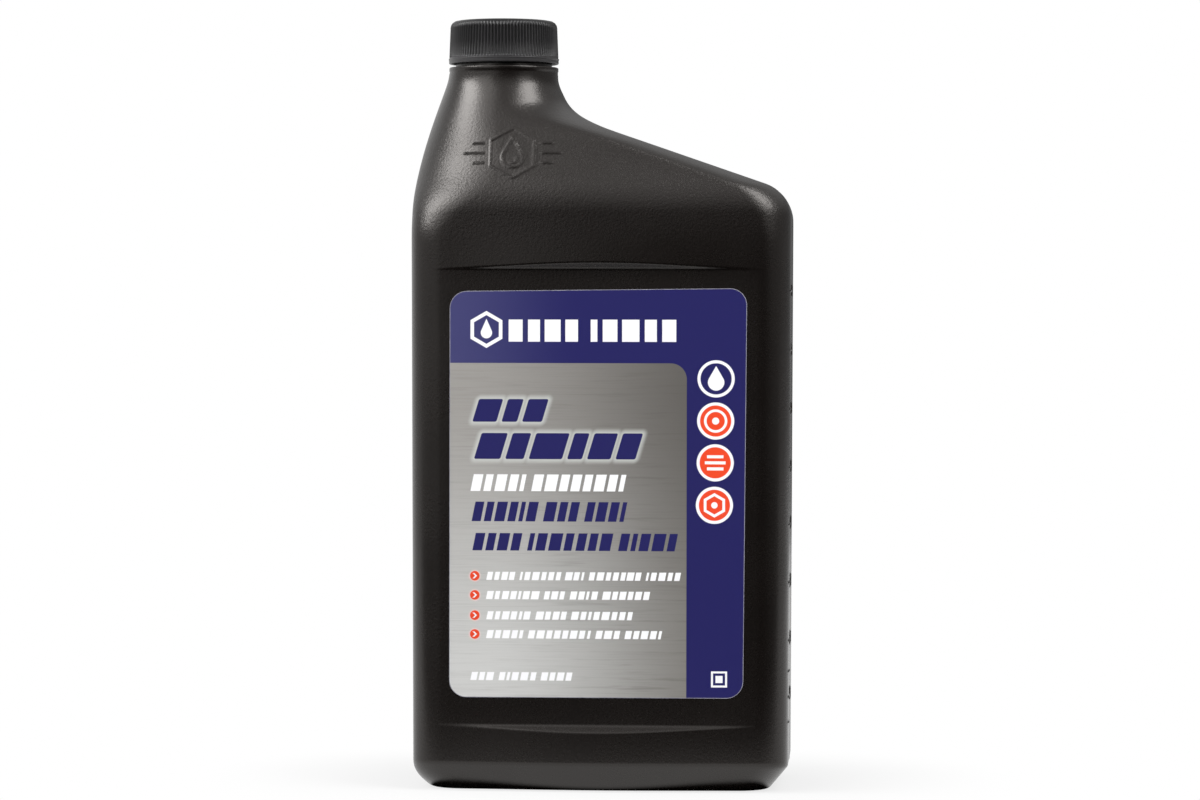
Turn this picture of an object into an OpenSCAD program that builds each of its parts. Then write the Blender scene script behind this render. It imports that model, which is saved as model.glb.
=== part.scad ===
// Motor oil bottle for one US quart: a blown shell with its neck at one side,
// a fluted screw cap with a foam liner, and a film label in a flat front panel.
// Frame: +Z up, origin on the ground under the middle of the body, label towards -Y.

/* [Body] */
// Width of the body below the shoulder
body_w = 107.2; // [95:0.1:120]
// Depth of the body over its crowned faces
body_d = 60; // [54:0.5:66]
// Draft of each side wall, from the shoulder down to the foot
draft = 0.9; // [0:0.1:2]
// Radius of the upright corners of the body, seen from above
corner_r = 9; // [6:0.5:14]
// How far the front and back faces bulge out between the corners
crown = 2.2; // [1.5:0.1:4]
// Thickness of the blown wall
wall = 1.0; // [0.7:0.1:1.6]

/* [Foot] */
// Height of the bevel round the foot
foot_h = 8.4; // [5:0.2:12]
// How far the side walls curve in at the foot
foot_side_in = 5; // [3:0.2:8]
// How far the front and back faces slope in at the foot
foot_face_in = 6.1; // [3:0.2:9]
// Width of the ring that the bottle stands on
foot_ring_w = 4; // [2:0.5:7]
// Height of the hollow under the base
push_up = 2.4; // [1:0.2:5]
// Width of the slope from the standing ring up to the hollow
push_up_run = 7; // [4:0.5:12]

/* [Label panel] */
// Height of the lower edge of the flat panel
panel_low_z = 18.7; // [14:0.1:26]
// Height of the flat panel
panel_h = 129; // [118:1:132]
// Depth of the panel at the middle of the face
panel_depth = 2.05; // [1:0.05:3]

/* [Label] */
// Gap between each side of the label and the side of the flat panel
label_side_gap = 2.9; // [1:0.1:8]
// How far the label sits off the middle of the panel
label_shift = -0.35; // [-0.8:0.05:0.8]
// Gap between the label's lower edge and the panel's lower edge
label_low_gap = 7.8; // [1:0.1:14]
// Gap between the label's upper edge and the panel's upper edge
label_high_gap = 7.2; // [1:0.1:14]
// Radius of the label's corners
label_r = 4; // [1:0.5:8]
// Thickness of the label film
label_t = 0.12; // [0.05:0.01:0.3]

/* [Shoulder] */
// Distance of the neck's axis from the left side of the body
neck_side = 24.75; // [20:0.05:40]
// Height at which the shoulder's slopes leave the neck
flare_z = 200; // [194:0.5:204]
// Angle between the left shoulder and the vertical
left_deg = 20; // [12:0.1:26]
// Angle between the flare right of the neck and the vertical
right_deg = 26.6; // [18:0.1:34]
// Angle between the front or back shoulder and the vertical
face_deg = 23.7; // [21:0.1:28]
// Angle between the long roof of the shoulder and the ground
roof_deg = 19.2; // [14:0.1:24]
// Height at which the line of the roof meets the right wall
roof_low_z = 168.4; // [160:0.1:172]
// Radius of the edges along the roof
roof_edge_r = 9.5; // [6:0.5:14]
// Radius of the corner between the roof and the right wall
roof_corner_r = 10.8; // [5:0.1:14]
// Softness of the bend between the left shoulder and the left wall
left_blend = 5; // [1:0.1:8]
// Height at which the corners of the left shoulder begin to widen
left_round_z = 155; // [151:0.5:166]
// Softness of the bend between the front shoulder and the front face
face_blend = 1.8; // [1:0.1:4]
// Softness of the bend between the neck and its flare
flare_blend = 1.1; // [0.5:0.1:1.4]
// Half the height of the fillet between the neck and the shoulder
neck_fillet = 6.5; // [2:0.1:8]

/* [Neck finish] */
// Radius of the neck below its ledge
neck_r = 15.5; // [14.5:0.1:17]
// How far the ledge under the cap stands out from the neck
ledge_lip = 0.15; // [0:0.05:1.5]
// Height of the ledge's upper face
ledge_z = 204.8; // [203.8:0.1:210]
// Thickness of the ledge
ledge_t = 1.4; // [1:0.1:2.4]
// Height of the mouth's rim above the ledge
finish_h = 11; // [9:0.1:14]
// Radius of the threaded part without its thread
finish_r = 12.7; // [12.2:0.1:13.2]
// Radius of the mouth
mouth_r = 10.9; // [9:0.1:11.4]
// Height of the bead above the ledge
bead_h = 1.8; // [1:0.1:2.4]
// Radius of the bead, the same as over the thread
bead_r = 13.75; // [13.4:0.05:14]
// Rounding of the finish's edges
finish_edge = 0.4; // [0.2:0.05:0.6]

/* [Screw cap] */
// Gap between the cap and the ledge when the cap is tight
cap_gap = 1.0; // [0.5:0.1:2]
// Clearance between the bead and the inside of the cap
cap_clear = 0.4; // [0.3:0.05:0.6]
// Thickness of the cap's skirt at its lower edge
skirt_t = 1.35; // [1.1:0.05:2]
// Thickness of the cap's top
cap_top_t = 1.3; // [1:0.1:2]
// Draft of the skirt, from its lower edge to the top
cap_draft = 0.35; // [0:0.05:0.6]
// Radius of the cap's upper edge
cap_edge_r = 0.9; // [0.4:0.1:1.2]
// Height of the plain band under the flutes
band_h = 1.5; // [1:0.1:3]
// Number of flutes round the cap
flutes = 102; // [60:2:120]
// Depth of the flutes
flute_depth = 0.35; // [0.15:0.05:0.5]
// Thickness of the foam liner between the cap and the rim
liner_t = 1.0; // [0.6:0.1:1.6]
// Clearance round the edge of the liner
liner_clear = 0.3; // [0.1:0.05:0.5]

/* [Hidden] */
$fn = 96;

// Heights and radii that follow from the sizes above
neck_offset = body_w / 2 - neck_side;
neck_x = -neck_offset;
rim_z = ledge_z + finish_h;
ledge_r = neck_r + ledge_lip;
cap_low_z = ledge_z + cap_gap;
cap_in_z = rim_z + liner_t;
cap_high_z = cap_in_z + cap_top_t;
cap_in_r = bead_r + cap_clear;
cap_r = cap_in_r + skirt_t;
panel_high_z = panel_low_z + panel_h;
panel_y = body_d / 2 - panel_depth;
collar_z = ledge_z - ledge_t;
floor_t = wall;

// Height at which the roof's line meets the flare right of the neck
roof_run = 1 / tan(roof_deg);
flare_run = tan(right_deg);
roof_top_z = (body_w / 2 + neck_offset - neck_r + roof_low_z * roof_run - flare_z * flare_run) / (roof_run - flare_run);

// Steps and short runs of the blown shell's rings
corner_steps = 12;
corner_weight = 2.4;
foot_steps = 5;
push_up_steps = 3;
shoulder_steps = 26;
shoulder_lead = 9;
shoulder_low_z = roof_low_z - shoulder_lead;
roof_round_run = 3;
roof_edge_run = 6;
roof_neck_blend = 1;
roof_tangent = roof_corner_r * tan((90 - roof_deg) / 2);
fillet_low_z = 177;
fillet_low_run = 8;
fillet_high_run = 10;
slope_probe = 0.02;
tight_r = 0.5;

// Tongue that ties the neck finish into the shell's wall
tongue_h = 0.6;
tongue_side = wall * 0.25;
collar_lap = 0.12;

function mix(a, b, t) = a + (b - a) * t;
function clamp(t) = min(1, max(0, t));
function ease(t) = let(s = clamp(t)) s * s * (3 - 2 * s);
function soft_max(a, b, k) = max(a, b) + pow(max(0, k - abs(a - b)), 2) / (4 * k);
function soft_min(a, b, k) = -soft_max(-a, -b, k);

// Reach of the plain side wall from the middle of the body
function wall_reach(z) = body_w / 2 - draft * clamp(1 - z / roof_low_z);

// Share of the foot's bevel that is left at a height, 1 on the ground
function foot_share(z) = clamp(1 - z / foot_h);
function foot_curve(z) = foot_side_in * (1 - sqrt(1 - pow(foot_share(z), 2)));
function foot_slope(z) = foot_face_in * foot_share(z);

// Reach of a slope that leaves the neck at the flare's height
function flare_reach(z, deg) = soft_max(neck_r, neck_r + (flare_z - z) * tan(deg), flare_blend);

// Outline seen from the front: left and right edges measured along X
function left_x(z) =
    -soft_min(wall_reach(z), neck_offset + flare_reach(z, left_deg), left_blend) + foot_curve(z);
function roof_arc(up) = roof_corner_r - sqrt(pow(roof_corner_r, 2) - pow(max(0, up), 2));
function roof_cut(z) =
    z < roof_low_z + roof_tangent * sin(roof_deg) ? roof_arc(z - roof_low_z + roof_tangent)
    : (z - roof_low_z) * roof_run;
function roof_x(z) = wall_reach(z) - roof_cut(z);
function roof_reach(z) = soft_max(neck_x + flare_reach(z, right_deg), roof_x(z), roof_neck_blend);
function right_x(z) = (z < roof_low_z ? roof_x(z) : roof_reach(z)) - foot_curve(z);

// Outline seen from the side: half the depth at the middle of a face
function half_depth(z) = soft_min(body_d / 2, flare_reach(z, face_deg), face_blend) - foot_slope(z);

// The middle of a ring, and how round its left and right ends are
function roof_share(z) = (z - roof_low_z) / (roof_top_z - roof_low_z);
function roundness(z) = ease((z - left_round_z) / (roof_top_z - left_round_z));
function middle_x(z) = neck_x * roundness(z);
function roof_roundness(z) = ease((z - roof_top_z + roof_round_run) / roof_round_run);

// Bulge of the faces, and the plane that flattens them over the label panel
function bulge(z) = crown * ease(1 - roof_share(z));
function panel_share(z) =
    clamp(min((z - panel_low_z) / panel_depth + 1, (panel_high_z - z) / panel_depth + 1));
function face_limit(z) = half_depth(z) - panel_depth * panel_share(z);

// Half the width of the flat panel: the bulge crosses the panel's plane there
function panel_half(z) = wall_reach(z) * acos(sqrt(max(0, 1 - panel_depth / crown))) / 90;

// Inward shift that gives the wall its thickness on a surface with this slope
function shift(slope, inset) = inset * sqrt(1 + slope * slope);
function slope_left(z) = (left_x(z + slope_probe) - left_x(z - slope_probe)) / (2 * slope_probe);
function slope_right(z) = (right_x(z + slope_probe) - right_x(z - slope_probe)) / (2 * slope_probe);
function slope_face(z) = (half_depth(z + slope_probe) - half_depth(z - slope_probe)) / (2 * slope_probe);

// A point on a quarter of a ring: f runs from the middle of the side to the middle of the face
function quarter_point(f, reach, half, rx, ry) =
    let(
        side_len = half - ry,
        bend_len = (rx + ry) * corner_weight,
        face_len = reach - rx,
        s = f * (side_len + bend_len + face_len),
        turn = 90 * (s - side_len) / bend_len
    )
    s < side_len ? [reach, s]
    : s <= side_len + bend_len + 0.001 ? [reach - rx + rx * cos(min(90, turn)), half - ry + ry * sin(min(90, turn))]
    : [(1 - (s - side_len - bend_len) / face_len) * (reach - rx), half];

// A quarter with the bulge and the flat panel applied
function face_point(f, reach, half, rx, ry, swell, limit) =
    let(p = quarter_point(f, reach, half - swell, rx, ry))
    [p[0], min(p[1] + swell * pow(cos(90 * p[0] / reach), 2), limit)];

// One ring of the shell: z is its height, inset 0 gives the outside, wall gives the inside,
// and pull draws it in evenly for the rings under the base
function sharp_ring(z, inset, pull, lift) =
    let(
        xm = middle_x(z),
        left = xm - left_x(z) - shift(slope_left(z), inset) - pull,
        right = right_x(z) - xm - shift(slope_right(z), inset) - pull,
        drop = shift(slope_face(z), inset) + pull,
        half = half_depth(z) - drop,
        swell = bulge(z),
        limit = face_limit(z) - drop,
        open = max(tight_r, corner_r - inset - pull),
        edge = max(tight_r, mix(corner_r, roof_edge_r, ease((z - roof_low_z) / roof_edge_run)) - inset - pull),
        rl = [mix(open, left, roundness(z)), mix(open, half - swell, roundness(z))],
        rr = [mix(edge, right, roof_roundness(z)), mix(edge, half - swell, roof_roundness(z))],
        n = corner_steps,
        h = z + lift
    )
    concat(
        [for (i = [0 : n - 1]) let(p = face_point(i / n, right, half, rr[0], rr[1], swell, limit)) [xm + p[0], p[1], h]],
        [for (i = [n : -1 : 1]) let(p = face_point(i / n, left, half, rl[0], rl[1], swell, limit)) [xm - p[0], p[1], h]],
        [for (i = [0 : n - 1]) let(p = face_point(i / n, left, half, rl[0], rl[1], swell, limit)) [xm - p[0], -p[1], h]],
        [for (i = [n : -1 : 1]) let(p = face_point(i / n, right, half, rr[0], rr[1], swell, limit)) [xm + p[0], -p[1], h]]
    );

// Near the neck a ring is a mean over rings above and below, which makes a wide fillet
function fillet_reach(z) =
    neck_fillet * ease((z - fillet_low_z) / fillet_low_run) * ease((collar_z - z) / fillet_high_run);
function mean_point(rings, i, k = 0) =
    k == len(rings) ? [0, 0, 0] : rings[k][i] * (4 - abs(k - 3)) / 16 + mean_point(rings, i, k + 1);
function ring(z, inset, pull, lift) =
    let(reach = fillet_reach(z))
    reach == 0 ? sharp_ring(z, inset, pull, lift)
    : let(rings = [for (k = [-3 : 3]) sharp_ring(z + reach * k / 4, inset, pull, lift)])
    [for (i = [0 : len(rings[0]) - 1]) mean_point(rings, i)];

// Heights of the rings, close together where the outline bends
body_z = concat(
    [for (i = [1 : foot_steps]) foot_h * (1 - cos(90 * i / foot_steps))],
    [panel_low_z - panel_depth, panel_low_z, panel_high_z, panel_high_z + panel_depth],
    [for (i = [0 : shoulder_steps]) mix(shoulder_low_z, collar_z, i / shoulder_steps)]
);
inner_body_z = [for (z = body_z) if (z > floor_t + tight_r) z];

// Rings in order: hollow under the base, outside upwards, inside downwards
shell_rings = concat(
    [for (i = [push_up_steps : -1 : 0])
        ring(0, 0, foot_ring_w + push_up_run * i / push_up_steps, push_up * ease(i / push_up_steps))],
    [ring(0, 0, 0, 0)],
    [for (z = body_z) ring(z, 0, 0, 0)],
    [for (i = [len(inner_body_z) - 1 : -1 : 0]) ring(inner_body_z[i], wall, 0, 0)],
    [for (i = [0 : push_up_steps])
        ring(floor_t, wall, foot_ring_w + push_up_run * i / push_up_steps, push_up * ease(i / push_up_steps))]
);

// Skin over a stack of rings, closed by a fan at each end
module loft(rings) {
    n = len(rings[0]);
    m = len(rings);
    sides = [for (j = [0 : m - 2]) for (i = [0 : n - 1])
        let(a = j * n + i, b = j * n + (i + 1) % n, c = b + n, d = a + n)
        each [[a, d, c], [a, c, b]]];
    first_fan = [for (i = [0 : n - 1]) [m * n, i, (i + 1) % n]];
    last_fan = [for (i = [0 : n - 1]) [m * n + 1, (m - 1) * n + (i + 1) % n, (m - 1) * n + i]];
    points = concat([for (r = rings) each r], [ring_centre(rings[0]), ring_centre(rings[m - 1])]);
    polyhedron(points = points, faces = concat(sides, first_fan, last_fan), convexity = 6);
}

function ring_centre(r) = [(r[0][0] + r[len(r) / 2][0]) / 2, 0, r[0][2]];

module neck_finish() {
    in_r = neck_r - wall - collar_lap;
    tongue_in = neck_r - wall + tongue_side;
    tongue_out = neck_r - tongue_side;
    translate([neck_x, 0, 0])
    rotate_extrude()
    polygon([
        [tongue_in, collar_z - tongue_h],
        [tongue_out, collar_z - tongue_h],
        [tongue_out, collar_z],
        [ledge_r, collar_z],
        [ledge_r, ledge_z - finish_edge],
        [ledge_r - finish_edge, ledge_z],
        [bead_r, ledge_z],
        [bead_r, ledge_z + bead_h - finish_edge],
        [bead_r - finish_edge, ledge_z + bead_h],
        [finish_r, ledge_z + bead_h],
        [finish_r, rim_z - finish_edge],
        [finish_r - finish_edge, rim_z],
        [mouth_r, rim_z],
        [mouth_r, ledge_z],
        [in_r, collar_z + collar_lap],
        [in_r, collar_z],
        [tongue_in, collar_z]
    ]);
}

module bottle() {
    color([0.16, 0.145, 0.135])
    union() {
        loft(shell_rings);
        neck_finish();
    }
}

// Outline of the flutes: a flat ridge and a flat groove, with slanted flanks
function flute_outline(r) = [
    for (i = [0 : flutes - 1]) for (k = [0 : 3])
    let(a = 360 * (i + k / 4 + 0.1) / flutes, q = (k == 0 || k == 3) ? r : r - flute_depth)
    [q * cos(a), q * sin(a)]
];

module cap_solid() {
    flute_low = cap_low_z + band_h;
    flute_high = cap_high_z - cap_edge_r;
    top_r = cap_r - cap_draft;
    translate([0, 0, cap_low_z])
    cylinder(r = cap_r + flute_depth * 0.4, h = band_h);
    translate([0, 0, flute_low])
    linear_extrude(height = flute_high - flute_low, scale = top_r / cap_r)
    polygon(flute_outline(cap_r));
    translate([0, 0, flute_high])
    cylinder(r1 = top_r - flute_depth * 0.4, r2 = top_r - cap_edge_r, h = cap_edge_r);
}

module screw_cap() {
    color([0.12, 0.12, 0.125])
    translate([neck_x, 0, 0])
    difference() {
        cap_solid();
        translate([0, 0, cap_low_z - 1])
        cylinder(r = cap_in_r, h = cap_in_z - cap_low_z + 1);
    }
}

module cap_liner() {
    color([0.9, 0.9, 0.88])
    translate([neck_x, 0, rim_z])
    cylinder(r = cap_in_r - liner_clear, h = liner_t);
}

// Rounded corner of the label as an arc from one angle over a quarter turn
function arc(x, z, r, from) = [for (a = [0 : 15 : 90]) [x + r * cos(from + a), z + r * sin(from + a)]];

module front_label() {
    high = panel_half(panel_high_z) - label_side_gap;
    low = panel_half(panel_low_z) - label_side_gap;
    high_z = panel_high_z - label_high_gap;
    low_z = panel_low_z + label_low_gap;
    color([0.62, 0.62, 0.62])
    translate([label_shift, -panel_y, 0])
    rotate([90, 0, 0])
    linear_extrude(height = label_t)
    polygon(concat(
        arc(high - label_r, high_z - label_r, label_r, 0),
        arc(-high + label_r, high_z - label_r, label_r, 90),
        arc(-low + label_r, low_z + label_r, label_r, 180),
        arc(low - label_r, low_z + label_r, label_r, 270)
    ));
}

bottle();
screw_cap();
cap_liner();
front_label();
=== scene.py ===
# %% [markdown]
# # A blown oil bottle, dressed for a picture
#
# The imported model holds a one-quart oil bottle at its real size: a blown shell, a fluted screw cap, the foam
# disc inside it and the label. This lesson gives each of them its finished surface. A finished piece stands
# for its solid and rides on the same body, so the cap still turns and lifts when the bottle is opened.

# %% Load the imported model
from functools import lru_cache, reduce
from math import atan2, cos, hypot, pi, radians, sin, sqrt, tan
from typing import NamedTuple

import bmesh
import bpy
from mathutils import Matrix, Vector


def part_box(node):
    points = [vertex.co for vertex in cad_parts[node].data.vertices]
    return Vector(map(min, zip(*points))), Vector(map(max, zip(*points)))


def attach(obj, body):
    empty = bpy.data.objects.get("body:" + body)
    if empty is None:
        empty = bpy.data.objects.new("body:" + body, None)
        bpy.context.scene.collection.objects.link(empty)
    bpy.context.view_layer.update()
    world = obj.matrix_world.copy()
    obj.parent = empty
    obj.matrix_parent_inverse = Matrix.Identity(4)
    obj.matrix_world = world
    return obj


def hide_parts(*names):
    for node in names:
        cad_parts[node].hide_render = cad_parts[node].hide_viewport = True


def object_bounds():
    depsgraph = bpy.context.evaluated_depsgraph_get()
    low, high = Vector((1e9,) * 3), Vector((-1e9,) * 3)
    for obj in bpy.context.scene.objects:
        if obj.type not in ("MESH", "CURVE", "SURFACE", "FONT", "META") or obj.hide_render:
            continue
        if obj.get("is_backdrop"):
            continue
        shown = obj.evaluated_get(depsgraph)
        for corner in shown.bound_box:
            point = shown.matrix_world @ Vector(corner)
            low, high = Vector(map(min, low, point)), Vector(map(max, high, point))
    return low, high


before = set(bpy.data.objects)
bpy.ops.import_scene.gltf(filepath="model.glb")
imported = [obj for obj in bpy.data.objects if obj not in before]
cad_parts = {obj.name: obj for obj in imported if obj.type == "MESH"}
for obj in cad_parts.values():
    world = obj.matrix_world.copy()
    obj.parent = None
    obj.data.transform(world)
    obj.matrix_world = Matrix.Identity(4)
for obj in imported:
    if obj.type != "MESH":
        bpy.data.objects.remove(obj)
CAD_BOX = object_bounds()
MM = 0.001


def put_in_scene(name, data):
    thing = bpy.data.objects.new(name, data)
    bpy.context.scene.collection.objects.link(thing)
    return thing


print("solids:", ", ".join(sorted(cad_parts)))

# %% [markdown]
# ## Camera
#
# The bottle is seen almost square on, from a little to the right of its front and from a height just under
# two thirds of its own. A long lens keeps its walls nearly parallel. The camera leans by a tenth of a degree,
# as a hand-set one does. It is made first, so that every later choice can be judged in its picture.

# %% Point the camera at the label
PICTURE_W = 1200
FOCAL_PX = 4144
SENSOR_W = 36.0
EYE_DISTANCE = 1.189
EYE_AZIMUTH = radians(3.75)
EYE_Z = 0.1346
LEAN = radians(0.09)
AIM = Vector((-0.00107, 0.0, 0.1096))


def add_camera():
    camera = put_in_scene("camera", bpy.data.cameras.new("camera"))
    camera.data.sensor_width = SENSOR_W
    camera.data.lens = FOCAL_PX * SENSOR_W / PICTURE_W
    side = EYE_DISTANCE * sin(EYE_AZIMUTH)
    back = EYE_DISTANCE * cos(EYE_AZIMUTH)
    camera.location = (AIM.x + side, -back, EYE_Z)
    look = (AIM - camera.location).to_track_quat("-Z", "Y")
    camera.rotation_euler = (look.to_matrix() @ Matrix.Rotation(LEAN, 3, "Z")).to_euler()
    bpy.context.scene.camera = camera
    return camera


camera = add_camera()
print("lens", round(camera.data.lens, 1), "mm")

# %% [markdown]
# ## Numbers that bend softly
#
# Plastic has no knife edges. Where two surfaces meet, a soft minimum or maximum follows one, then the other,
# and rounds the bend between them. The whole bottle is described with these few functions, in millimetres.

# %% Soft arithmetic


def mix(a, b, t):
    return a + (b - a) * t


def clamp(t):
    return min(1.0, max(0.0, t))


def ease(t):
    s = clamp(t)
    return s * s * (3 - 2 * s)


def soft_max(a, b, k):
    return max(a, b) + max(0.0, k - abs(a - b)) ** 2 / (4 * k)


def soft_min(a, b, k):
    return -soft_max(-a, -b, k)


print("halfway up the bend:", soft_max(0.0, 0.0, 1.0))

# %% [markdown]
# ## The bottle's outline
#
# A blown bottle has no inner parts to measure: it is a skin. Two outlines say nearly all of it. Seen from the
# front there is a left edge and a right edge, and seen from the side there is half the depth, each as a
# function of height. The right edge turns into a long roof that climbs to the neck. The sizes are those of
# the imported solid, with softer bends at the foot and round the label panel.

# %% Sizes of the body and the shoulder
BODY_W = 107.2
BODY_D = 60.0
LEFT_WALL = (53.35, 0.65)
RIGHT_WALL = (53.95, 0.5)
CORNER_R = 9.0
CROWN = 2.2
WALL = 1.0
FOOT_H = 7.9
FOOT_LEFT = (7.0, 4.6)
FOOT_RIGHT = (6.9, 5.4)
FOOT_FACE_IN = 5.9
FOOT_RING_W = 4.0
FOOT_EDGE_R = 0.7
FOOT_SOFT = 0.06
PUSH_UP = 2.4
PUSH_UP_RUN = 7.0
PANEL_LOW_Z = 18.7
PANEL_HIGH_Z = 146.9
PANEL_DEPTH = 2.05
PANEL_SOFT = 0.22
FLARE_Z = 200.0
LEFT_FLARE_Z = 202.0
LEFT_DEG = 20.0
RIGHT_DEG = 26.6
FACE_DEG = 23.7
ROOF_DEG = 19.2
ROOF_LOW_Z = 168.65
ROOF_EDGE_R = 11.4
ROOF_CORNER_R = 10.8
LEFT_ROUND_Z = 155.0
LEFT_BLEND = 5.0
FACE_BLEND = 1.8
FLARE_BLEND = 1.1
NECK_R = 15.5

cap_low, cap_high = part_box("screw_cap")
NECK_X = (cap_low.x + cap_high.x) / 2 / MM
RIM_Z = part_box("bottle")[1].z / MM
ROOF_RUN = 1 / tan(radians(ROOF_DEG))
ROOF_TANGENT = ROOF_CORNER_R * tan(radians(90 - ROOF_DEG) / 2)
FLARE_RUN = tan(radians(RIGHT_DEG))
ROOF_REACH = BODY_W / 2 - NECK_X - NECK_R
ROOF_TOP_Z = (ROOF_REACH + ROOF_LOW_Z * ROOF_RUN - FLARE_Z * FLARE_RUN) / (ROOF_RUN - FLARE_RUN)
print("neck axis at x", round(NECK_X, 2), "and the roof ends at z", round(ROOF_TOP_Z, 1))

# %% Edges of the outline by height
ROOF_NECK_BLEND = 3.5
ROOF_ROUND_RUN = 3.0
ROOF_EDGE_RUN = 14.0


def wall_reach(z, wall):
    """How far a side wall stands out: less at the foot, by its draft, so that it leaves the mould."""
    reach, draft = wall
    return reach - draft * clamp(1 - z / ROOF_LOW_Z)


def foot_left(z):
    """The left of the foot curves in, like a quarter of a tyre."""
    high, run = FOOT_LEFT
    return run * clamp(1 - z / high) ** 2


def foot_right(z):
    """The right of the foot is cut off straight."""
    high, run = FOOT_RIGHT
    return run * soft_max(0.0, 1 - z / high, FOOT_SOFT)


def foot_slope(z):
    return FOOT_FACE_IN * soft_max(0.0, 1 - z / FOOT_H, FOOT_SOFT)


def flare_reach(z, degrees, start=FLARE_Z):
    return soft_max(NECK_R, NECK_R + (start - z) * tan(radians(degrees)), FLARE_BLEND)


def left_x(z):
    flare = flare_reach(z, LEFT_DEG, LEFT_FLARE_Z) - NECK_X
    return foot_left(z) - soft_min(wall_reach(z, LEFT_WALL), flare, LEFT_BLEND)


def roof_cut(z):
    """How far the right edge has left the wall: round the corner in an arc, then straight up the roof."""
    up = z - (ROOF_LOW_Z - ROOF_TANGENT)
    if up <= ROOF_TANGENT * (1 + sin(radians(ROOF_DEG))):
        return ROOF_CORNER_R - sqrt(ROOF_CORNER_R ** 2 - max(0.0, up) ** 2)
    return (z - ROOF_LOW_Z) * ROOF_RUN


def right_x(z):
    wall = wall_reach(z, RIGHT_WALL) - roof_cut(z)
    if z > ROOF_LOW_Z:
        wall = soft_max(NECK_X + flare_reach(z, RIGHT_DEG), wall, ROOF_NECK_BLEND)
    return wall - foot_right(z)


def half_depth(z):
    return soft_min(BODY_D / 2, flare_reach(z, FACE_DEG), FACE_BLEND) - foot_slope(z)


print("width at mid height", round(right_x(90) - left_x(90), 2), "mm")

# %% [markdown]
# ## One level ring
#
# Cut the bottle level at any height. The cut is a rounded rectangle low down and a circle at the neck, with
# everything between on the shoulder. Its faces bulge a little, and a flat plane trims the bulge to make the
# sunken panel for the label. A ring's shape depends on its height alone, so it is worked out once and kept.

# %% Shape of a ring and a point on it
CORNER_WEIGHT = 2.4
TIGHT_R = 0.5
SLOPE_PROBE = 0.02
COLLAR_Z = 203.4
NECK_FILLET_Z = 177.0
NECK_FILLET = 6.5
FILLET_RUNS = (8, 10)
FILLET_STEPS = 4


def roof_share(z):
    return (z - ROOF_LOW_Z) / (ROOF_TOP_Z - ROOF_LOW_Z)


def panel_share(z):
    rise = min((z - PANEL_LOW_Z) / PANEL_DEPTH, (PANEL_HIGH_Z - z) / PANEL_DEPTH) + 1
    return soft_max(0.0, soft_min(1.0, rise, PANEL_SOFT), PANEL_SOFT)


def wall_shift(edge, z, inset):
    """How far an edge moves in so that the wall keeps its thickness on a slope."""
    slope = (edge(z + SLOPE_PROBE) - edge(z - SLOPE_PROBE)) / (2 * SLOPE_PROBE)
    return inset * sqrt(1 + slope * slope)


@lru_cache(maxsize=None)
def ring_shape(z, inset, pull):
    round_left = ease((z - LEFT_ROUND_Z) / (ROOF_TOP_Z - LEFT_ROUND_Z))
    round_right = ease((z - ROOF_TOP_Z + ROOF_ROUND_RUN) / ROOF_ROUND_RUN)
    middle = NECK_X * round_left
    left = middle - left_x(z) - wall_shift(left_x, z, inset) - pull
    right = right_x(z) - middle - wall_shift(right_x, z, inset) - pull
    drop = wall_shift(half_depth, z, inset) + pull
    half = half_depth(z) - drop
    swell = CROWN * ease(1 - roof_share(z))
    limit = half + PANEL_SOFT - (PANEL_DEPTH + PANEL_SOFT) * panel_share(z)
    edge_r = mix(CORNER_R, ROOF_EDGE_R, ease((z - ROOF_LOW_Z) / ROOF_EDGE_RUN + 1))
    left_r = max(TIGHT_R, CORNER_R - inset - pull)
    right_r = max(TIGHT_R, edge_r - inset - pull)
    left_bend = (mix(left_r, left, round_left), mix(left_r, half - swell, round_left))
    right_bend = (mix(right_r, right, round_right), mix(right_r, half - swell, round_right))
    return middle, half, swell, limit, (left, *left_bend), (right, *right_bend)


def quarter_point(f, reach, half, bend_x, bend_y):
    """Runs from the middle of a side at f = 0, round the corner, to the middle of a face at f = 1."""
    side = half - bend_y
    bend = (bend_x + bend_y) * CORNER_WEIGHT
    face = max(reach - bend_x, 1e-6)
    s = f * (side + bend + face)
    if s < side:
        return reach, s
    if s <= side + bend:
        turn = pi / 2 * (s - side) / bend
        return reach - bend_x + bend_x * cos(turn), half - bend_y + bend_y * sin(turn)
    return (1 - (s - side - bend) / face) * (reach - bend_x), half


def sharp_point(turn, z, inset, pull):
    """turn goes from 0 to 4, a quarter each: right side, back, left side, front and right side again."""
    middle, half, swell, limit, left, right = ring_shape(z, inset, pull)
    quarter = min(int(turn), 3)
    part = turn - quarter
    f = 1 - part if quarter % 2 else part
    reach, bend_x, bend_y = right if quarter in (0, 3) else left
    x, y = quarter_point(f, reach, half - swell, bend_x, bend_y)
    y = soft_min(y + swell * cos(pi / 2 * x / reach) ** 2, limit, PANEL_SOFT)
    return Vector((middle + x if quarter in (0, 3) else middle - x, y if quarter < 2 else -y, z))


def ring_point(turn, z, inset=0.0, pull=0.0):
    """A point of a ring. Near the neck it is a mean over rings above and below, which makes a wide fillet."""
    low_run, high_run = FILLET_RUNS
    reach = NECK_FILLET * ease((z - NECK_FILLET_Z) / low_run) * ease((COLLAR_Z - z) / high_run)
    if not reach:
        return sharp_point(turn, z, inset, pull)
    n = FILLET_STEPS
    points = [sharp_point(turn, z + reach * k / n, inset, pull) * (n - abs(k)) for k in range(1 - n, n)]
    return sum(points, Vector((0, 0, 0))) / n ** 2


print("front of the panel at y", round(ring_point(3, 90).y, 2))

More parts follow.
